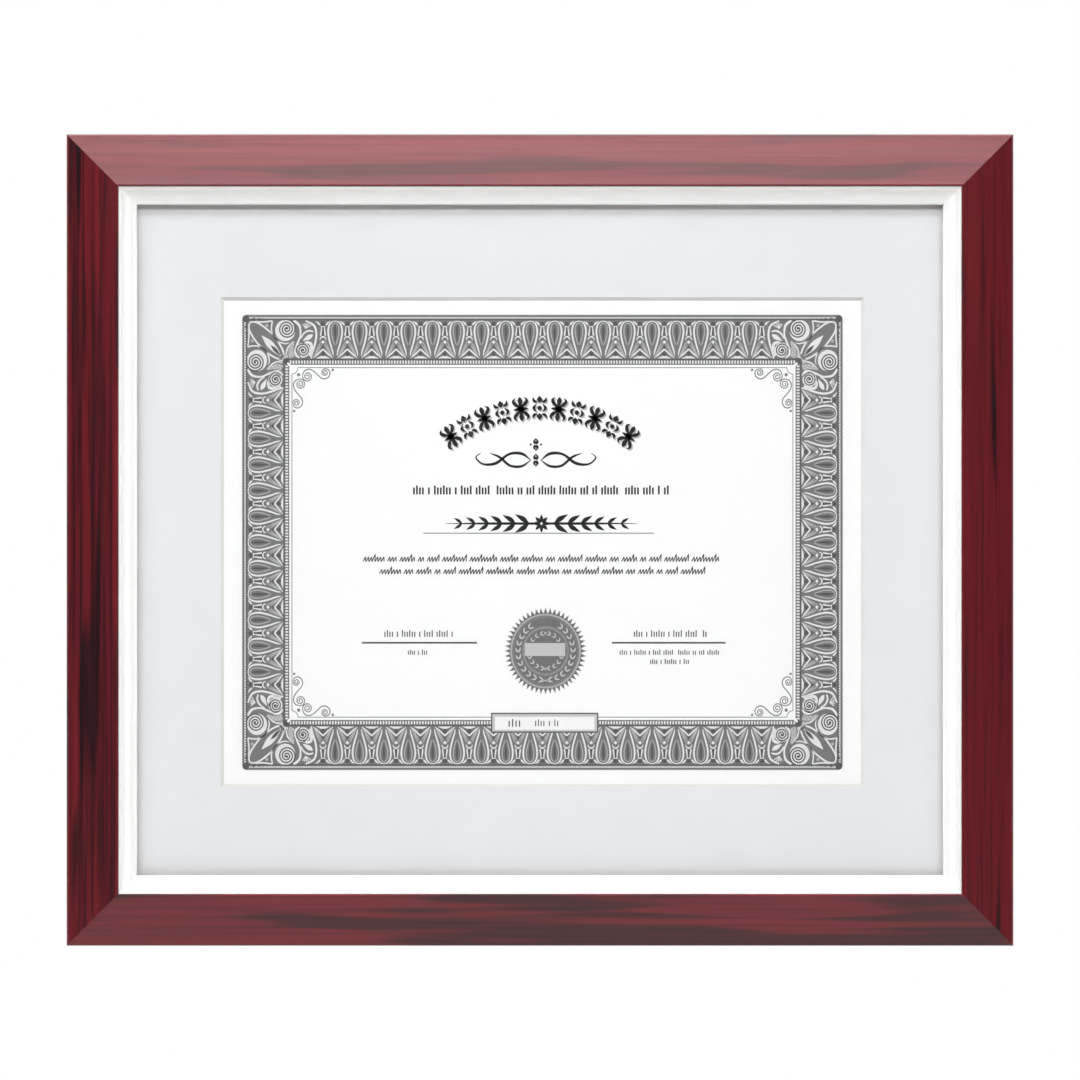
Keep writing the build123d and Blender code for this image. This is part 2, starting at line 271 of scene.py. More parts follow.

# Mat. Surface paper over a white pulp core, with its window cut by a blade at 45 degrees.
# The face is a cool off-white with a fine tooth. The cut shows the core, coloured a warmer white and darker
# than the face: this is painted shade on the bevel, over a pulp that is white.
mat_white = "#E8E9EB"
mat_shade = "#E3E4E7"
core_white_with_painted_shade = "#DDDDDA"
tooth_size = 0.5 * mm
mottle_size = 9 * mm
mat_paper, tree = new_material("mat_board_paper")
place = add(tree, "TexCoord", {})
tooth = add(tree, "TexNoise", {"Vector": place.outputs["Object"], "Scale": 1 / tooth_size, "Detail": 4})
mottle = add(tree, "TexNoise", {"Vector": place.outputs["Object"], "Scale": 1 / mottle_size, "Detail": 2})
face = add(tree, "Mix", {"Factor": mottle, "A": linear(mat_white), "B": linear(mat_shade)}, data_type="RGBA")
toward_front = add(tree, "SeparateXYZ", {"Vector": place.outputs["Normal"]}).outputs["Y"]
flatness = add(tree, "Math", {0: toward_front}, operation="ABSOLUTE")
cut = add(tree, "Math", {0: flatness, 1: 0.9}, operation="LESS_THAN")
board = add(tree, "Mix", {"Factor": cut, "A": face, "B": linear(core_white_with_painted_shade)}, data_type="RGBA")
bump = add(tree, "Bump", {"Strength": 0.15, "Distance": 0.03 * mm, "Height": tooth})
settings = {"Base Color": board, "Roughness": 0.85, "Specular IOR Level": 0.25, "Normal": bump}
add(tree, "OutputMaterial", {"Surface": add(tree, "BsdfPrincipled", settings)})
dress(mat_paper, "mat_board")

# Certificate sheet. Smooth heavy printing paper of letter size, hung behind the mat.
# Bright white with a trace of fibre.
paper_white = "#FBFBFB"
paper_shade = "#F6F6F5"
paper_fibre = 0.8 * mm
paper, tree = new_material("smooth_certificate_paper")
place = add(tree, "TexCoord", {})
fibre = add(tree, "TexNoise", {"Vector": place.outputs["Object"], "Scale": 1 / paper_fibre, "Detail": 3})
whites = {"Factor": fibre, "A": linear(paper_white), "B": linear(paper_shade)}
tone = add(tree, "Mix", whites, data_type="RGBA")
bump = add(tree, "Bump", {"Strength": 0.08, "Distance": 0.02 * mm, "Height": fibre})
settings = {"Base Color": tone, "Roughness": 0.75, "Specular IOR Level": 0.3, "Normal": bump}
add(tree, "OutputMaterial", {"Surface": add(tree, "BsdfPrincipled", settings)})
dress(paper, "certificate_sheet")

# Border print. Raised grey ink on the sheet: a dark ground, and on it rows of beads, upright leaves and small
# palmettes, as engraved borders of certificates have by tradition. Each grey is its own pass of the press.
# The design is drawn in millimetres from the sheet's middle, then stretched: a little narrower and taller.
ink_thickness = 0.03
print_stretch = (0.97, 1.03)
border_half = np.array([128.5, 91.8])
border_depth = 20.3
leaf_counts = (18, 11)
leaf_pitch = 10.42
bead_pitch = 1.2
bead_row_inset = 20.9
speck_pitch = 1.05
speck_row_inset = 2.4
ink_mottle = 1.5 * mm
ground_grey = "#717171"
dark_grey = "#505050"
middle_grey = "#B0B0B0"
pale_grey = "#E6E6E6"
sheet_low, sheet_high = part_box("certificate_sheet")
print_middle = (sheet_low + sheet_high) / 2


def ink(name, colour, shade):
    """Press ink: one grey that mottles a little where the paper takes less of it, with a dull shine."""
    material, tree = new_material(name)
    place = add(tree, "TexCoord", {})
    mottle = {"Vector": place.outputs["Object"], "Scale": 1 / ink_mottle, "Detail": 3}
    take = add(tree, "TexNoise", mottle)
    tone = add(tree, "Mix", {"Factor": take, "A": linear(colour), "B": linear(shade)}, data_type="RGBA")
    gloss = add(tree, "MapRange", {"Value": take, "To Min": 0.5, "To Max": 0.65})
    settings = {"Base Color": tone, "Roughness": gloss, "Specular IOR Level": 0.3}
    add(tree, "OutputMaterial", {"Surface": add(tree, "BsdfPrincipled", settings)})
    return material


def smooth(knots, stations):
    """A Catmull-Rom curve through knots of x, y and half width. Each point mixes the four knots round it,
    with cubic weights of how far it lies between the middle two."""
    knots = np.asarray(knots, float)
    padded = np.concatenate([2 * knots[:1] - knots[1:2], knots, 2 * knots[-1:] - knots[-2:-1]])
    steps = np.linspace(0, len(knots) - 1, stations)
    first = np.minimum(steps.astype(int), len(knots) - 2)
    t = (steps - first)[:, None]
    weights = [2 * t**2 - t**3 - t, 3 * t**3 - 5 * t**2 + 2, 4 * t**2 - 3 * t**3 + t, t**3 - t**2]
    return sum(weight * padded[first + number] for number, weight in enumerate(weights)) / 2


def dot(x, y, radius, stations=7):
    """A round dot as a stroke along its diameter: its half width is the circle's height there."""
    margin = pi / (4 * stations)
    turn = np.linspace(margin, pi - margin, stations)
    return np.column_stack([x - radius * np.cos(turn), np.full(stations, y), radius * np.sin(turn)])


def flipped(strokes):
    """Strokes mirrored left to right."""
    return np.asarray(strokes) * [-1, 1, 1]


def whole(knots):
    """Knots of a symmetric line's right half, from its foot to its top, carried on down its left half."""
    return list(knots) + [(-x, y, half) for x, y, half in reversed(knots[:-1])]


def printed(name, material, layer, strokes=(), rings=()):
    """A mesh of ink strokes, in arrays of stroke by station by x, y and half width. A stroke is a closed
    strip: its edges lie half its width left and right of its line, mitred where it turns, between a foot and
    a top one ink's thickness apart. Rings join their ends. The layer says how many inks lie below."""
    vertices, faces, first = [], [], 0
    batches = [(np.asarray(batch, float), False) for batch in strokes]
    batches += [(np.asarray(batch, float), True) for batch in rings]
    for batch, closed in batches:
        ahead = np.roll(batch[..., :2], -1, axis=1) - batch[..., :2]
        if not closed:
            ahead[:, -1] = ahead[:, -2]
        ahead /= np.linalg.norm(ahead, axis=2, keepdims=True)
        behind = np.roll(ahead, 1, axis=1)
        if not closed:
            behind[:, 0] = ahead[:, 0]
        mitre = (ahead + behind) / (1 + (ahead * behind).sum(axis=2, keepdims=True))
        left = np.stack([-mitre[..., 1], mitre[..., 0]], axis=2) * batch[..., 2:]
        line = batch[..., :2]
        edges = [line - left, line + left, line + left, line - left]
        corners = np.zeros((*batch.shape[:2], 4, 3))
        corners[..., [0, 2]] = np.stack(edges, axis=2) * print_stretch
        corners[..., 1] = -ink_thickness * (layer + np.array([0, 0, 1, 1]))
        count, stations = batch.shape[:2]
        start = first + 4 * stations * np.arange(count)[:, None, None]
        here = np.arange(stations if closed else stations - 1)[None, :, None]
        after = (here + 1) % stations
        corner = np.arange(4)[None, None, :]
        following = (corner + 1) % 4
        walk = ((here, corner), (here, following), (after, following), (after, corner))
        quads = [start + 4 * station + number for station, number in walk]
        faces.append(np.stack(quads, axis=3).reshape(-1, 4))
        if not closed:
            faces.append(start[:, 0] + np.array([0, 3, 2, 1]))
            faces.append(start[:, 0] + 4 * (stations - 1) + np.arange(4))
        vertices.append(corners.reshape(-1, 3))
        first += 4 * count * stations
    mesh = bpy.data.meshes.new(name)
    points = np.concatenate(vertices) * mm + [print_middle.x, sheet_low.y, print_middle.z]
    mesh.from_pydata(points.tolist(), [], np.concatenate(faces).tolist())
    mesh.materials.append(material)
    piece = bpy.data.objects.new(name, mesh)
    bpy.context.scene.collection.objects.link(piece)
    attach(piece, "root")


def along_sides(motif, places):
    """Copies of a motif at places along each of the four sides. The motif's second number is counted inwards
    from the border's edge, and each side is the top turned by quarter turns."""
    quarter = np.array([[0, -1, 0], [1, 0, 0], [0, 0, 1]])
    turn = np.eye(3)
    copies = []
    for number in range(4):
        top = np.asarray(motif) * [1, -1, 1] + [0, border_half[1 - number % 2], 0]
        spread = top[None] + places[number % 2][:, None, None, None] * np.array([1, 0, 0])
        copies.append(spread.reshape(-1, *top.shape[1:]) @ turn)
        turn = turn @ quarter
    return np.concatenate(copies)


def rectangle(depth, half_width, corner=0.0, steps=1):
    """A ring at a depth in the border, with round corners of a radius."""
    reach = border_half - depth - corner
    turn = np.linspace(0, pi / 2, steps)
    arc = np.column_stack([np.cos(turn), np.sin(turn)]) * corner
    signs = ((1, 1), (-1, 1), (-1, -1), (1, -1))
    points = [(reach + arc[:: x * y]) * (x, y) for x, y in signs]
    line = np.concatenate(points)
    return np.column_stack([line, np.full(len(line), half_width)])[None]


leaf_outline = [(0.8, 16.7, 0.12), (1.05, 15, 0.3), (1.85, 12.6, 0.34), (2.65, 9.6, 0.36), (3.0, 6.9, 0.38)]
leaf_outline += [(2.55, 4.4, 0.32), (1.4, 3.1, 0.22), (0, 2.75, 0.18)]
leaf_vein = [(0.25, 12.3, 0.16), (0.9, 10.6, 0.2), (1.5, 8.2, 0.22), (1.6, 6, 0.22), (1.2, 4.3, 0.2)]
leaf_vein += [(0, 3.5, 0.16)]
leaf_heart = [(0, 4.1, 0.06), (0, 6, 0.5), (0, 8.5, 0.45), (0, 11.5, 0.06)]
ear = [(1.15, 4.5, 0.06), (1.55, 4, 0.32), (2.2, 3.35, 0.3), (3.2, 2.75, 0.06)]
stalk = [(0.55, 5, 0.12), (0.7, 6.5, 0.26), (1, 8.6, 0.32)]
chevron = [(0, 14, 0.3), (1.25, 15.1, 0.3), (2.7, 16.4, 0.28), (4.3, 17.6, 0.1)]
fan_outer = [(0.6, 10.6, 0.08), (1.65, 12.4, 0.27), (3.1, 15.3, 0.24), (4, 17, 0.08)]
fan_inner = [(0.4, 12, 0.08), (1.55, 13.6, 0.27), (2.8, 15.7, 0.24), (3.8, 17.2, 0.08)]
arch = [(1.35, 10.4, 0.12), (1.05, 9.5, 0.22), (0, 8.95, 0.28)]
half_moon = [(2.9, 17.7, 0.06), (1.45, 17.4, 0.34), (0, 17.2, 0.55)]
cap = [(1, 5, 0.12), (0, 4.85, 0.24)]

pale_gap = [smooth(knots, 9) for knots in (ear, stalk, chevron, whole(arch), whole(half_moon), whole(cap))]
pale_gap = np.concatenate([pale_gap, flipped(pale_gap[:3])])
fans = [smooth(knots, 9) for knots in (fan_outer, fan_inner)]
fans = np.concatenate([fans, flipped(fans)])
wedge = smooth([(0, 5.3, 0.2), (0, 7, 0.35), (0, 8.6, 0.5)], 5)
bead = smooth([(0, 18.55, 0.2), (0, 19.25, 0.38), (0, 19.95, 0.2)], 4)
speck = dot(0, 1.4, 0.42, 4)
dark_speck = dot(0, 0.5, 0.44, 4)

ground_ink = ink("grey_press_ink", ground_grey, "#767676")
dark_ink = ink("dark_grey_press_ink", dark_grey, "#585858")
middle_ink = ink("middle_grey_press_ink", middle_grey, "#A8A8A8")
pale_ink = ink("pale_grey_press_ink", pale_grey, "#DEDEDE")
leaf_places = [(np.arange(count) - (count - 1) / 2) * leaf_pitch for count in leaf_counts]
gap_places = [(np.arange(count + 1) - count / 2) * leaf_pitch for count in leaf_counts]


def row_places(inset, pitch):
    """Even places along the two lengths of side, from an inset at one end to an inset at the other."""
    return [np.linspace(-half, half, round(2 * half / pitch) + 1) for half in border_half - inset]


bead_places = row_places(bead_row_inset, bead_pitch)
speck_places = row_places(speck_row_inset, speck_pitch)
rim = rectangle(1.35, 0.75, corner=1.4, steps=7)
field_half = (border_depth - 2) / 2
printed("border_ground_print", ground_ink, 0, rings=[rim, rectangle(border_depth - field_half, field_half)])
leaves = along_sides([smooth(whole(leaf_outline), 27)], leaf_places)
gaps = along_sides(pale_gap, gap_places)
printed("border_leaf_print", pale_ink, 1, [leaves, gaps, along_sides([dot(0, 11.2, 0.6)], gap_places)])
veins = along_sides([smooth(whole(leaf_vein), 17)], leaf_places)
printed("border_vein_print", middle_ink, 1, [veins, along_sides(fans, gap_places)])
hearts = along_sides([smooth(leaf_heart, 9)], leaf_places)
pips = along_sides([dot(0, 3.85, 0.95), dot(0, 13.2, 0.5), dot(0, 15.9, 0.95)], gap_places)
dark_lines = [rectangle(2.2, 0.2), rectangle(18.1, 0.22), rectangle(20.1, 0.15)]
wedges = along_sides([wedge], gap_places)
dark_specks = along_sides([dark_speck], speck_places)
printed("border_heart_print", dark_ink, 2, [hearts, pips, wedges, dark_specks], rings=dark_lines)
beads = along_sides([bead], bead_places)
printed("border_bead_print", pale_ink, 2, [beads, along_sides([speck], speck_places)])

# Corner print. Where the rows meet, each corner holds a long bud on the diagonal between two pairs of
# scrolls, with a dotted band, a small comb and a leaf, the same on both sides of the diagonal.
# Its numbers are counted inwards from the border's outer corner.


def in_corners(motif, both=True):
    """Copies of strokes in the four corners, and turned over each corner's diagonal where both is true."""
    motif = np.asarray(motif)
    if both:
        motif = np.concatenate([motif, motif[..., [1, 0, 2]]])
    copies = []
    for sign in ((-1, 1), (1, 1), (1, -1), (-1, -1)):
        copies.append(np.concatenate([(border_half - motif[..., :2]) * sign, motif[..., 2:]], axis=-1))
    return np.concatenate(copies)


def spiral(x, y, outer, inner, turns, start, half_width, stations):
    """A scroll line: its radius shrinks evenly from outer to inner as it turns from a start angle."""
    turn = radians(start) + np.linspace(0, 2 * pi * turns, stations)
    radius = np.linspace(outer, inner, stations)
    line = [x + radius * np.cos(turn), y + radius * np.sin(turn), np.full(stations, half_width)]
    return np.column_stack(line)


def on_diagonal(knots):
    """Knots of distance along the diagonal, distance off it and half width, as knots of x and y."""
    return [((s + off) / 2**0.5, (s - off) / 2**0.5, half) for s, off, half in knots]


bud_side = on_diagonal([(4.8, 0, 0.3), (5.7, 1.4, 0.35), (8, 2.65, 0.36), (12.6, 3.45, 0.36)])
bud_side += on_diagonal([(16, 3.5, 0.36), (20, 2.95, 0.36), (23.4, 1.8, 0.36), (25.3, 0, 0.3)])
scroll_band = [(22.1, 2.4, 0.5), (24.5, 4.3, 0.5), (25.1, 6.6, 0.4), (25, 8.9, 0.36), (23.9, 11.5, 0.42)]
scroll_band += [(23.2, 14, 0.6), (23.3, 16, 0.75), (24.8, 17.3, 0.6)]
scroll_rim = [(13.1, 2.6, 0.3), (12.7, 5, 0.3), (12.9, 7.2, 0.3), (14.2, 9.5, 0.28), (16.3, 11.2, 0.28)]
scroll_rim += [(18.7, 11.8, 0.26), (20.4, 11.4, 0.1)]
end_curve = [(27.3, 2.6, 0.3), (30.9, 4.5, 0.42), (31.9, 8, 0.42), (31.3, 11.9, 0.42), (30, 15.8, 0.42)]
end_curve += [(29.7, 17.8, 0.3)]
leaf_top = [(25.3, 9.7, 0.2), (26.5, 7.7, 0.35), (28.6, 6.6, 0.38), (30.6, 7, 0.3)]
leaf_blade = [(26.1, 10.6, 0.1), (28.7, 9.2, 0.95), (30.3, 8.2, 0.3)]
leaf_turn = [(25.8, 12, 0.2), (27.8, 11.3, 0.5), (29.6, 12, 0.6), (29.7, 14.3, 0.55), (29, 16.8, 0.4)]
band_edge = [(22.1, 10.7, 0.1), (19.8, 13.3, 0.3), (19.1, 15.4, 0.3), (19.5, 17.3, 0.3)]
dotted_band = [(22.4, 11, 0.3), (21.4, 12.9, 0.8), (21, 15.1, 1.15), (21.4, 17.3, 1.15)]
comb_ends = [(26, 3.9), (26.8, 3.6), (27.7, 3.5), (28.6, 3.7), (29.6, 4.3)]
band_dots = [(21.9, 12.1), (21.1, 13.2), (21.9, 13.9), (20.6, 14.6), (21.5, 15.3), (20.6, 16.2)]
band_dots += [(21.9, 16.5), (21, 17.3)]
edge_dots = [(5.1, 2, 0.7), (7.4, 2, 0.55), (9.1, 2, 0.42)]
under_bud = [(5.8, 2.9, 0.3), (9, 3.1, 0.32), (13.1, 2.6, 0.3)]
bud_centre = [(17.6, 0, 0.1), (20.2, 0, 0.72), (23.3, 0, 0.15)]

scroll_knots = (bud_side, scroll_band, scroll_rim, end_curve, leaf_turn, band_edge)
scroll_lines = [smooth(knots, 21) for knots in scroll_knots]
short_lines = [smooth(knots, 9) for knots in (leaf_top, leaf_blade, under_bud)]
comb = [smooth([(27.3, 5.8, 0.12), (x, y, 0.2)], 3) for x, y in comb_ends]
bud_core = smooth(on_diagonal([(12.1, 0, 0.1), (16.4, 0, 1.4), (20, 0, 1.2), (23.6, 0, 0.2)]), 13)
bright_streak = smooth(on_diagonal([(27.6, 0, 0.35), (29.3, 0, 0.5), (31.4, 0, 0.3)]), 5)
printed(
    "corner_scroll_print",
    pale_ink,
    1,
    [
        in_corners(scroll_lines),
        in_corners(short_lines),
        in_corners(comb),
        in_corners([dot(18.6, 6.5, 4.3, 25), dot(26.2, 14.4, 3, 25)]),
        in_corners([dot(18.5, 16.7, 0.9)]),
        in_corners([bud_core], both=False),
    ],
)
printed(
    "corner_shade_print",
    middle_ink,
    1,
    [in_corners([smooth(dotted_band, 13)]), in_corners([dot(10.7, 4.5, 0.7)])],
)
printed("corner_speck_print", pale_ink, 2, [in_corners([dot(x, y, 0.22, 5) for x, y in band_dots])])
printed(
    "corner_line_print",
    dark_ink,
    3,
    [
        in_corners([spiral(19.2, 5.9, 3.9, 0.5, 3, 250, 0.27, 73)]),
        in_corners([spiral(26.2, 14.5, 2.7, 0.4, 2.3, 200, 0.25, 49)]),
        in_corners([dot(19.3, 5.6, 0.55), dot(26.2, 14.5, 0.45)] + [dot(*place) for place in edge_dots]),
        in_corners([dot(1.8, 1.8, 1.5, 13), dot(19, 19, 1.05, 13)], both=False),
        in_corners([smooth(on_diagonal(bud_centre), 9)], both=False),
    ],
)
white_ink = ink("white_press_ink", "#F8F8F8", "#F2F2F2")
printed("corner_streak_print", white_ink, 4, [in_corners([bright_streak], both=False)])

# Fine line and vines. A hair line runs round inside the border and cuts each corner in a hollow curve.
# A thin vine with a scroll at each end grows both ways from the corner.
hair_corner = smooth([(24.1, 21.45, 0.17), (23.75, 22.7, 0.17), (22.7, 23.75, 0.17), (21.45, 24.1, 0.17)], 9)
corner_turns = ((-1, 1, 1), (1, 1, -1), (1, -1, 1), (-1, -1, -1))
hair_points = [
    np.column_stack([(border_half - hair_corner[::step, :2]) * (x, y), hair_corner[:, 2]])
    for x, y, step in corner_turns
]
hair_ink = ink("fine_line_press_ink", "#8C8C8C", "#949494")
printed("fine_line_print", hair_ink, 1, rings=[np.concatenate(hair_points[::-1])[None]])

vine = [(26, 24.6, 0.2), (26.7, 22.9, 0.24), (28.3, 22.1, 0.24), (30.3, 22.6, 0.24), (32.4, 24.3, 0.24)]
vine += [(33.9, 25.6, 0.24), (35.4, 26, 0.24), (37, 25.3, 0.24), (37.7, 23.8, 0.24), (37.1, 22.4, 0.22)]
vine += [(35.7, 21.9, 0.2)]
printed(
    "vine_print",
    ink("vine_press_ink", "#7A7A7A", "#828282"),
    1,
    [
        in_corners([smooth(vine, 41)]),
        in_corners([spiral(28.1, 25, 2.1, 0.35, -2, 190, 0.22, 41)]),
        in_corners([spiral(35.6, 23.4, 1.5, 0.3, -1.6, 270, 0.22, 33)]),
        in_corners([dot(38.9, 22.4, 0.55)]),
        in_corners([dot(24.3, 24.3, 0.7)], both=False),
    ],
)

# Arc of ornaments. Eleven bold black ornaments on an arc over a soft grey shadow, as type founders cast them:
# pointed crosses and ringed pips in turn. Pen flourishes and small marks lie under the arc.
black_grey = "#0C0C0C"
arc_middle = -1.2 - 14.1j
arc_radius = 68.2
arc_pitch = radians(6.76)
ornament_count = 11


def set_along(motif, places, headings, scales):
    """Copies of strokes, each scaled, turned and moved to its place. Places are complex: across plus up i."""
    motif = np.asarray(motif)
    line = motif[..., 0] + 1j * motif[..., 1]
    copies = places[:, None, None] + (scales * np.exp(1j * headings))[:, None, None] * line[None]
    widths = scales[:, None, None] * motif[None, ..., 2]
    return np.stack([copies.real, copies.imag, widths], axis=3).reshape(-1, *motif.shape[1:])


def four_ways(stroke):
    """A stroke and its mirror images, left to right and top to bottom."""
    return np.concatenate([[np.asarray(stroke) * (x, y, 1)] for x in (1, -1) for y in (1, -1)])


steps = np.arange(ornament_count) - ornament_count // 2
turns = -steps * arc_pitch
places = arc_middle + arc_radius * 1j * np.exp(1j * turns)
post_half = [(0, 0, 1.35), (0, 1.6, 0.75), (0, 3.6, 1), (0, 4.9, 0.15)]
cross_post = smooth([(x, -y, half) for x, y, half in post_half[:0:-1]] + post_half, 25)
cross_arm = smooth([(-3.2, 0, 0.1), (-1.4, 0, 0.75), (0, 0, 1.1), (1.4, 0, 0.75), (3.2, 0, 0.1)], 17)
cross_curl = smooth([(0.6, 1, 0.3), (1.9, 1.9, 0.75), (2.9, 3.3, 0.6), (2, 4.6, 0.12)], 13)
pip_tip = smooth([(0, 2.1, 0.15), (0, 3.3, 1.25), (0, 4.9, 0.1)], 11)
pip_leaf = smooth([(1, 2.4, 0.3), (2.4, 2.9, 0.6), (2.9, 4.3, 0.12)], 11)
pip_sides = [smooth([(x, -1.6, 0.1), (x * 1.9, 0, 0.62), (x, 1.6, 0.1)], 11) for x in (1.3, -1.3)]
odd, even = steps % 2 == 1, steps % 2 == 0
ones = np.ones(ornament_count)


def ornaments(shift):
    """The eleven ornaments, all moved by a complex shift."""
    crosses = places[odd] + shift, turns[odd], ones[odd]
    pips = places[even] + shift, turns[even], ones[even]
    return [
        set_along([cross_post], *crosses),
        set_along([cross_arm], *crosses),
        set_along(four_ways(cross_curl), *crosses),
        set_along([dot(0, 0, 0.95)], *pips),
        set_along([pip_tip, pip_tip * (1, -1, 1)], *pips),
        set_along(four_ways(pip_leaf), *pips),
        set_along(pip_sides, *pips),
    ]


black_ink = ink("black_press_ink", black_grey, "#141414")
printed("arc_shadow_print", ink("shadow_press_ink", "#B5B5B5", "#BBBBBB"), 0, ornaments(0.55 - 0.6j))
printed("arc_ornament_print", black_ink, 1, ornaments(0))

flourish = [(2.2, 0, 0.15), (6, 2.6, 0.6), (11.5, 2.4, 0.5), (17, -1.2, 0.62), (22.5, -1.6, 0.4)]
flourish += [(25.6, 1, 0.3), (23.6, 2.9, 0.12)]
under_curl = [(2.2, 0, 0.15), (6, -2.4, 0.5), (11, -2.2, 0.5), (15.5, 1.2, 0.5), (19.6, 2.8, 0.14)]
curls = np.array([smooth(flourish, 33), smooth(under_curl, 33)])
middle_mark = four_ways(smooth([(0, 0.3, 0.5), (0.6, 1.1, 0.5), (0, 2.3, 0.08)], 7)) * 1.1
printed(
    "flourish_print",
    black_ink,
    0,
    [
        np.concatenate([curls, flipped(curls)]) + [-2.8, 33.1, 0],
        middle_mark + [-2.8, 33.1, 0],
        middle_mark + [-2.8, 39.4, 0],
        np.array([dot(-5, 39.4, 0.45), dot(-0.6, 39.4, 0.45)]),
    ],
)

# Lines. Rows of upright ticks and runs of pen waves in dark grey ink, fine rules, and a laurel divider.
# They lie in the open field inside the border, as the lines of a blank form do.


def ticks(left, right, level, height, half_width, pitch):
    """Upright ticks along a line. Every third is taller, and gaps part them into groups of uneven length."""
    number = np.arange(round((right - left) / pitch) + 1)
    number = number[(number % 7 != 6) & (number % 11 != 4) | (number == number[-1])]
    x = left + number * (right - left) / number[-1]
    rise = height * np.where(number % 3 == 1, 1.0, 0.78)
    foot = np.column_stack([x, np.full(len(x), level - height / 2), np.full(len(x), half_width)])
    return np.stack([foot, foot + np.column_stack([0 * rise, rise, 0 * rise])], axis=1)


wave_counts = (7, 3, 5, 2, 4, 8, 9, 6, 7, 3, 8)


def pen_waves(left, right, level, height, half_width):
    """Runs of leaning pen waves that fill a line, as in writing practice: a cosine, of which each fourth wave
    is taller. Each run is one stroke, and their lengths are uneven."""
    pitch = 0.5 * height
    runs, start = [], left
    for waves in wave_counts * 5:
        waves = min(waves, int((right - start) / pitch))
        if waves > 1:
            turn = np.linspace(0, waves, 8 * waves + 1)
            share = np.where((turn + 1).astype(int) % 4 == 0, 1.0, 0.62)
            rise = share * height * (1 - np.cos(2 * pi * turn)) / 2
            x = start + pitch * turn + 0.25 * rise
            line = [x, level - height / 2 + rise, np.full(len(turn), half_width)]
            runs.append(np.column_stack(line)[None])
            start += pitch * (waves + 1)
    return runs


def rule(left, right, level, half_width):
    """A straight printed line."""
    return [[(left, level, half_width), (right, level, half_width)]]


divider_leaf = smooth([(0, 0, 0.15), (2.4, 1.8, 1.05), (5.9, 3.7, 0.08)], 9)
reach = np.arange(6) * 5.7 + 5.4
shrink = 1 - 0.08 * np.arange(6)
half_divider = set_along([divider_leaf, divider_leaf * (1, -1, 1)], reach + 0j, 0 * reach, shrink)
stem = smooth([(2.5, 0, 0.45), (20, 0, 0.5), (41, 0, 0.08)], 9)[None]
petal = smooth([(0.5, 0, 0.2), (2, 0, 0.75), (3.6, 0, 0.08)], 7)
petals = set_along([petal], np.zeros(8) + 0j, np.arange(8) * pi / 4, np.ones(8))
divider_place = np.array([-0.4, 7.6, 0])
printed(
    "divider_print",
    black_ink,
    0,
    [
        np.concatenate([half_divider, flipped(half_divider)]) + divider_place,
        np.concatenate([stem, flipped(stem)]) + divider_place,
        petals + divider_place,
    ],
)
tall_ticks = ticks(-54.9, 53.6, 21.1, 3.6, 0.38, 1.27)
printed("tall_tick_print", ink("tall_tick_press_ink", "#202020", "#282828"), 0, [tall_ticks])
line_ink = ink("line_press_ink", "#404040", "#484848")
printed(
    "line_wave_print",
    line_ink,
    0,
    [
        *pen_waves(-76.7, 76.5, -6.3, 2.6, 0.22),
        *pen_waves(-69.7, 69.5, -11.3, 2.6, 0.22),
        ticks(-67.3, -38.6, -36.7, 2.7, 0.25, 1.05),
        ticks(-57.3, -49.5, -44.2, 2.1, 0.22, 0.9),
        ticks(39.3, 69.9, -36.7, 2.7, 0.25, 1.05),
        ticks(33.2, 75.2, -44.2, 2.1, 0.22, 0.9),
        ticks(46.2, 62.4, -47.9, 2.1, 0.22, 0.9),
        rule(-77.2, -27.9, -40.4, 0.34),
        rule(29.7, 78.3, -40.4, 0.34),
    ],
)
printed("centre_rule_print", hair_ink, 0, [rule(-50.9, 47.7, 3.7, 0.22)])

# Seal print. A toothed disc in flat grey ink, with rings, two laurel wreaths and a plain label across it.
# Such seals are stock ornaments of printers; nothing is raised or cut here but the ink.
seal_middle = 1.35 - 43.7j
seal_x, seal_y = seal_middle.real, seal_middle.imag


def ring(radius, half_width, steps=72):
    """A round ring about the seal's middle."""
    turn = np.linspace(0, 2 * pi, steps + 1)[:-1]
    points = seal_middle + radius * np.exp(1j * turn)
    return np.column_stack([points.real, points.imag, np.full(steps, half_width)])[None]


def wreath(radius, pairs, size, opening):
    """Two branches of leaf pairs that rise from the bottom of a circle and stop short of its top."""
    leaf = smooth([(0, 0, 0.08), (0.45, 0.42, 0.26), (1.3, 0.75, 0.04)], 7)
    turn = np.linspace(radians(-84), radians(90 - opening), pairs)
    places = seal_middle + radius * np.exp(1j * turn)
    branch = set_along([leaf, leaf * (1, -1, 1)], places, turn + pi / 2, np.full(pairs, size))
    return np.concatenate([branch, (branch - [seal_x, 0, 0]) * [-1, 1, 1] + [seal_x, 0, 0]])


tooth_count = 52
teeth = np.linspace(0, 2 * pi, tooth_count + 1)[:-1]
tooth = smooth([(14.8, 0, 1.0), (15.6, 0, 0.62), (17.4, 0, 0.05)], 4)
seal_teeth = set_along([tooth], np.full(tooth_count, seal_middle), teeth, np.ones(tooth_count))
seal_ink = ink("seal_press_ink", "#6A6A6A", "#707070")
printed("seal_disc_print", seal_ink, 0, [[dot(seal_x, seal_y, 15.4, 41)], seal_teeth])
printed("seal_ring_print", middle_ink, 1, rings=[ring(14.7, 0.42)])
band_ink = ink("band_press_ink", "#868686", "#8C8C8C")
printed("seal_band_print", band_ink, 1, rings=[ring(9.5, 0.5), ring(13.7, 0.14)])
label_ink = ink("label_press_ink", "#BEBEBE", "#C4C4C4")
star_point = smooth([(0.1, 0, 0.2), (0.8, 0, 0.05)], 3)
stem_ends = [[(x, -12.6, 0.12), (-x, -11.2, 0.16)] for x in (1.9, -1.9)]
crossed_stems = np.array([smooth(ends, 3) for ends in stem_ends]) + [seal_x, seal_y, 0]
stars = set_along([star_point], np.full(5, seal_middle), np.arange(5) * 0.4 * pi, np.ones(5))
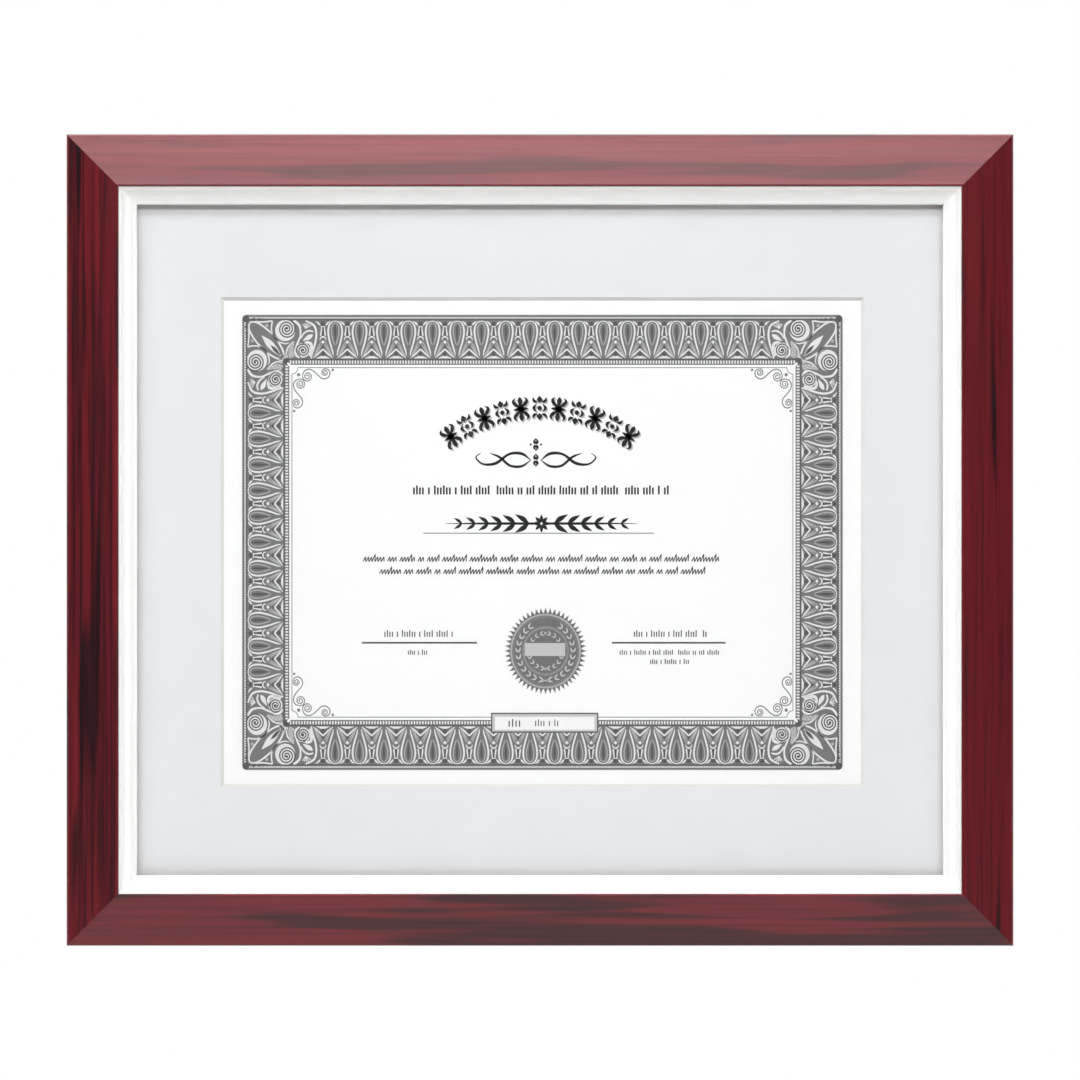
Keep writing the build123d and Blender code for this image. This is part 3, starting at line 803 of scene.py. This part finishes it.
printed(
    "seal_wreath_print",
    label_ink,
    2,
    [
        wreath(11.7, 11, 1.5, 38),
        wreath(7.1, 9, 1.15, 18),
        stars + [0, 7.2, 0],
        stars + [0, -7.2, 0],
        crossed_stems,
    ],
)
printed("seal_label_print", label_ink, 3, [rule(seal_x - 8.9, seal_x + 8.4, seal_y + 0.6, 2.6)])

# Lower tablet. A pale tablet in a grey and a dark frame, printed over the border's lower edge, with two short
# rows of upright ticks on it.
tablet_level = -72.6
tablet_inks = {
    "frame": ink("tablet_frame_press_ink", "#5C5C5C", "#646464"),
    "band": ink("tablet_band_press_ink", "#C4C4C4", "#CACACA"),
    "face": ink("tablet_face_press_ink", "#F5F5F4", "#F0F0EF"),
}
printed("tablet_frame_print", tablet_inks["frame"], 3, [rule(-22, 23.9, tablet_level, 4.05)])
printed("tablet_band_print", tablet_inks["band"], 4, [rule(-21.4, 23.3, tablet_level, 3.45)])
printed("tablet_face_print", tablet_inks["face"], 5, [rule(-20.3, 22.2, tablet_level - 0.2, 2.6)])
left_ticks = ticks(-14.2, -9.8, tablet_level, 3.2, 0.26, 1.4)
right_ticks = ticks(-2.9, 6.5, tablet_level, 2.7, 0.22, 1.25)
printed("tablet_tick_print", line_ink, 6, [left_ticks, right_ticks])

# Hinge tapes. Two strips of gummed linen tape hang the sheet from the mat's back, as framers do.
# Cream cloth in a plain weave, 0.4 mm from thread to thread, with painted shade where the threads dip.
thread_spacing = 0.4 * mm
thread_cream = "#F0EBDD"
thread_hollow_painted_shade = "#DDD7C6"
linen, tree = new_material("gummed_linen_tape")
place = add(tree, "TexCoord", {})
scale = 2 * pi / thread_spacing
angles = add(tree, "VectorMath", {0: place.outputs["Object"], 1: (scale, scale, scale)}, operation="MULTIPLY")
waves = add(tree, "SeparateXYZ", {"Vector": add(tree, "VectorMath", {0: angles}, operation="SINE")})
weave = add(tree, "Math", {0: waves.outputs["X"], 1: waves.outputs["Z"]}, operation="MULTIPLY")
raised = add(tree, "MapRange", {"Value": weave, "From Min": -1})
creams = {"Factor": raised, "A": linear(thread_hollow_painted_shade), "B": linear(thread_cream)}
tone = add(tree, "Mix", creams, data_type="RGBA")
bump = add(tree, "Bump", {"Strength": 0.4, "Distance": 0.05 * mm, "Height": raised})
settings = {"Base Color": tone, "Roughness": 0.9, "Normal": bump}
add(tree, "OutputMaterial", {"Surface": add(tree, "BsdfPrincipled", settings)})
dress(linen, "hinge_tapes")

# Filler board. A sheet of plain grey chipboard that takes up the rebate's depth behind the certificate.
# Pulped waste paper, rolled and dried: matt, with short fibres and a few darker flecks.
chip_grey = "#A39A8B"
chip_shade = "#8F8677"
chip_fleck = "#6E665A"


def fibre_board(name, colour, shade, fleck, fibre, roughness):
    """Pressed board: two tones from noise of the fibre's size in millimetres, and sparse flecks four times as
    large. The same noise roughens it and raises the fibres."""
    material, tree = new_material(name)
    place = add(tree, "TexCoord", {})
    pulp = {"Vector": place.outputs["Object"], "Scale": 1 / (fibre * mm), "Detail": 5}
    fibres = add(tree, "TexNoise", pulp)
    flecks = add(tree, "TexVoronoi", {"Vector": place.outputs["Object"], "Scale": 1 / (4 * fibre * mm)})
    near = {"Value": flecks, "From Min": 0.12, "From Max": 0.2, "To Min": 0.6, "To Max": 0}
    spot = add(tree, "MapRange", near)
    base = add(tree, "Mix", {"Factor": fibres, "A": linear(colour), "B": linear(shade)}, data_type="RGBA")
    tone = add(tree, "Mix", {"Factor": spot, "A": base, "B": linear(fleck)}, data_type="RGBA")
    gloss = add(tree, "MapRange", {"Value": fibres, "To Min": roughness - 0.08, "To Max": roughness + 0.08})
    bump = add(tree, "Bump", {"Strength": 0.25, "Distance": 0.05 * mm, "Height": fibres})
    settings = {"Base Color": tone, "Roughness": gloss, "Normal": bump}
    add(tree, "OutputMaterial", {"Surface": add(tree, "BsdfPrincipled", settings)})
    return material


chipboard = fibre_board("grey_chipboard", chip_grey, chip_shade, chip_fleck, fibre=0.5, roughness=0.88)
dress(chipboard, "filler_board")

# Back panel. Hot-pressed hardboard, 3 mm thick, lifted out when the turn buttons are swung aside.
# Steam-bonded wood fibre, smooth and dark brown, with a faint shine from the press plate.
panel_brown = "#6A4A30"
panel_shade = "#553923"
panel_fleck = "#3A2616"
hardboard = fibre_board("smooth_hardboard", panel_brown, panel_shade, panel_fleck, fibre=0.9, roughness=0.5)
dress(hardboard, "back_panel")

# Turn buttons and their screws. Eight stamped steel tongues, each on a pan-head screw in the rail's back.
# Bright zinc plate over pressed steel: cool grey, with a soft bloom and fine rolling lines.
zinc_grey = "#C6CACD"
zinc_shade = "#B4B9BE"
zinc_plate = plated_metal(
    "bright_zinc_plate", zinc_grey, zinc_shade, roughness=0.34, grit=0.25, line_length=3
)
buttons = [f"{side}_{end}_turn_button" for side in ("top", "bottom") for end in ("left", "right")]
buttons += [f"{side}_{end}_turn_button" for side in ("left", "right") for end in ("lower", "upper")]
dress(zinc_plate, "turn_button_screws", *buttons)

# Hangers and their nails. A sawtooth hanger on the top rail, and one on the left rail for hanging upright.
# Spring steel with a thin brass plate: yellow and a little dull, with fine rolling lines.
brass_yellow = "#D9B56B"
brass_shade = "#C39A52"
brass_plate = plated_metal(
    "brass_plate_on_steel", brass_yellow, brass_shade, roughness=0.33, grit=0.25, line_length=3
)
dress(brass_plate, "landscape_hanger", "portrait_hanger", "hanger_nails")

# Bumpers. Four soft pads stuck to the back's corners, which hold the frame off the wall.
# Black moulded rubber with a fine matt grain from the mould.
rubber_black = "#1A1A1B"
rubber_worn = "#242425"
mould_grain = 0.3 * mm
rubber, tree = new_material("moulded_rubber")
place = add(tree, "TexCoord", {})
grain = add(tree, "TexNoise", {"Vector": place.outputs["Object"], "Scale": 1 / mould_grain, "Detail": 3})
blacks = {"Factor": grain, "A": linear(rubber_black), "B": linear(rubber_worn)}
tone = add(tree, "Mix", blacks, data_type="RGBA")
rough = add(tree, "MapRange", {"Value": grain, "To Min": 0.62, "To Max": 0.78})
bump = add(tree, "Bump", {"Strength": 0.3, "Distance": 0.04 * mm, "Height": grain})
settings = {"Base Color": tone, "Roughness": rough, "Normal": bump}
add(tree, "OutputMaterial", {"Surface": add(tree, "BsdfPrincipled", settings)})
dress(rubber, *(f"{level}_{side}_bumper" for level in ("top", "bottom") for side in ("left", "right")))

# The room. A pale round floor below the frame, a white backdrop that is the world itself, and soft boxes: two
# strips and two fills above the viewer, one at each side, two overhead and one behind. The top rail leans up
# and mirrors the upper strip, and the bottom rail mirrors the lit floor. No lamp is seen by the camera.
low, high = (Vector(corner) for corner in cad_box)
centre = (low + high) / 2
floor_drop = 0.25
floor_radius = 1.3
floor_points = 96
floor_fade_share = 0.55
speckle_size = 4 * mm
floor_grey = "#EFEFEF"
floor_shade = "#EBEBEB"


def soft_box(name, azimuth, elevation, distance, width, height, radiance, shine_only=False):
    """An area lamp that faces the frame's middle. Azimuth 0 stands in front, 90 on the right. One that is
    for shine only is mirrored in glossy surfaces, and lights nothing else."""
    lamp = bpy.data.lights.new(name, "AREA")
    lamp.shape = "RECTANGLE"
    lamp.size, lamp.size_y = width, height
    lamp.energy = radiance * width * height * pi
    box = bpy.data.objects.new(name, lamp)
    turn, lift = radians(azimuth), radians(elevation)
    toward = Vector((sin(turn) * cos(lift), -cos(turn) * cos(lift), sin(lift)))
    box.location = centre + toward * distance
    box.rotation_mode = "QUATERNION"
    box.rotation_quaternion = toward.to_track_quat("Z", "Y")
    box.visible_camera = False
    box.visible_diffuse = not shine_only
    bpy.context.scene.collection.objects.link(box)


# Each line gives azimuth and elevation in degrees, distance, width and height in metres, and radiance.
soft_box("front_strip", 0, 28, 2.0, 2.1, 0.28, 12.8)
soft_box("upper_strip", 0, 47, 2.0, 0.92, 0.28, 10.0)
soft_box("left_fill_box", -42, 40, 2.0, 0.85, 0.49, 6.2)
soft_box("right_fill_box", 42, 40, 2.0, 0.85, 0.49, 2.7)
soft_box("left_side_strip", -83, 8, 2.0, 0.28, 1.6, 6.2)
soft_box("right_side_strip", 83, 8, 2.0, 0.28, 1.6, 6.6)
soft_box("ceiling_box", 0, 86, 1.8, 2.0, 0.8, 1.0)
soft_box("back_soft_box", 165, 35, 1.8, 2.0, 1.0, 1.6)
soft_box("edge_shine_box", 0, 87, 1.8, 2.2, 1.3, 5.0, shine_only=True)


def looked_at(tree):
    """Two numbers, each one or zero: for rays from the camera, and for rays mirrored or through glass."""
    rays = add(tree, "LightPath", {}).outputs
    either = {0: rays["Is Glossy Ray"], 1: rays["Is Transmission Ray"]}
    return rays["Is Camera Ray"], add(tree, "Math", either, operation="MAXIMUM")


# The camera sees white all round. Other rays find it only behind the frame, where it lights a tenth less.
world = bpy.data.worlds.new("white_room")
bpy.context.scene.world = world
world.use_nodes = True
tree = world.node_tree
tree.nodes.clear()
behind = add(tree, "SeparateXYZ", {"Vector": add(tree, "TexCoord", {}).outputs["Generated"]}).outputs["Y"]
backdrop = add(tree, "MapRange", {"Value": behind, "From Min": 0.2, "From Max": 0.5})
seen, mirrored = looked_at(tree)
level = add(tree, "MapRange", {"Value": mirrored, "To Min": 0.9})
around = add(tree, "Math", {0: backdrop, 1: level}, operation="MULTIPLY")
strength = add(tree, "Math", {0: seen, 1: around}, operation="MAXIMUM")
white = add(tree, "Background", {"Color": linear("#FFFFFF"), "Strength": strength})
add(tree, "OutputWorld", {"Surface": white})

# To the camera, and in anything mirrored, the floor fades into the same white towards its rim.
floor_turn = np.linspace(0, 2 * pi, floor_points + 1)[:-1]
floor_middle = (centre.x, centre.y, low.z - floor_drop)
floor_circle = np.stack([np.cos(floor_turn), np.sin(floor_turn), np.zeros(floor_points)], axis=1)
floor_rim = floor_circle * floor_radius + floor_middle
floor_mesh = bpy.data.meshes.new("floor")
floor_mesh.from_pydata(floor_rim.tolist(), [], [list(range(floor_points))])
floor = bpy.data.objects.new("floor", floor_mesh)
bpy.context.scene.collection.objects.link(floor)
floor_paint, tree = new_material("pale_floor")
place = add(tree, "TexCoord", {})
from_middle = add(tree, "VectorMath", {0: place.outputs["Object"], 1: floor_middle}, operation="DISTANCE")
fade = add(
    tree,
    "MapRange",
    {"Value": from_middle, "From Min": floor_radius * floor_fade_share, "From Max": floor_radius},
    interpolation_type="SMOOTHSTEP",
)
in_view = add(tree, "Math", dict(enumerate(looked_at(tree))), operation="MAXIMUM")
faded = add(tree, "Math", {0: fade, 1: in_view}, operation="MULTIPLY")
speckle = add(tree, "TexNoise", {"Vector": place.outputs["Object"], "Scale": 1 / speckle_size, "Detail": 2})
greys = {"Factor": speckle, "A": linear(floor_grey), "B": linear(floor_shade)}
pale = add(tree, "Mix", greys, data_type="RGBA")
matt = add(tree, "BsdfPrincipled", {"Base Color": pale, "Roughness": 0.9})
glow = add(tree, "Emission", {"Color": linear("#FFFFFF"), "Strength": 1.0})
add(tree, "OutputMaterial", {"Surface": add(tree, "MixShader", {"Fac": faded, 1: matt, 2: glow})})
floor_mesh.materials.append(floor_paint)

# The camera. Straight in front at eye level with the frame's middle, far off with a long lens, as a catalogue
# picture is taken. Its lens gives 2.417 pixels of a 1080 pixel image for each millimetre at the rails' edge.
camera_distance = 3.0
image_width = 1080
pixels_per_mm = 2.417
crest_to_edge = 7 * mm
edge_depth = low.y + crest_to_edge
camera_data = bpy.data.cameras.new("camera")
camera_data.sensor_width = 36
camera_data.lens = pixels_per_mm / mm * camera_distance / image_width * camera_data.sensor_width
camera = bpy.data.objects.new("camera", camera_data)
camera.location = (centre.x, edge_depth - camera_distance, centre.z)
camera.rotation_euler = (pi / 2, 0, 0)
bpy.context.scene.collection.objects.link(camera)
bpy.context.scene.camera = camera
bpy.context.scene.view_settings.view_transform = "Standard"
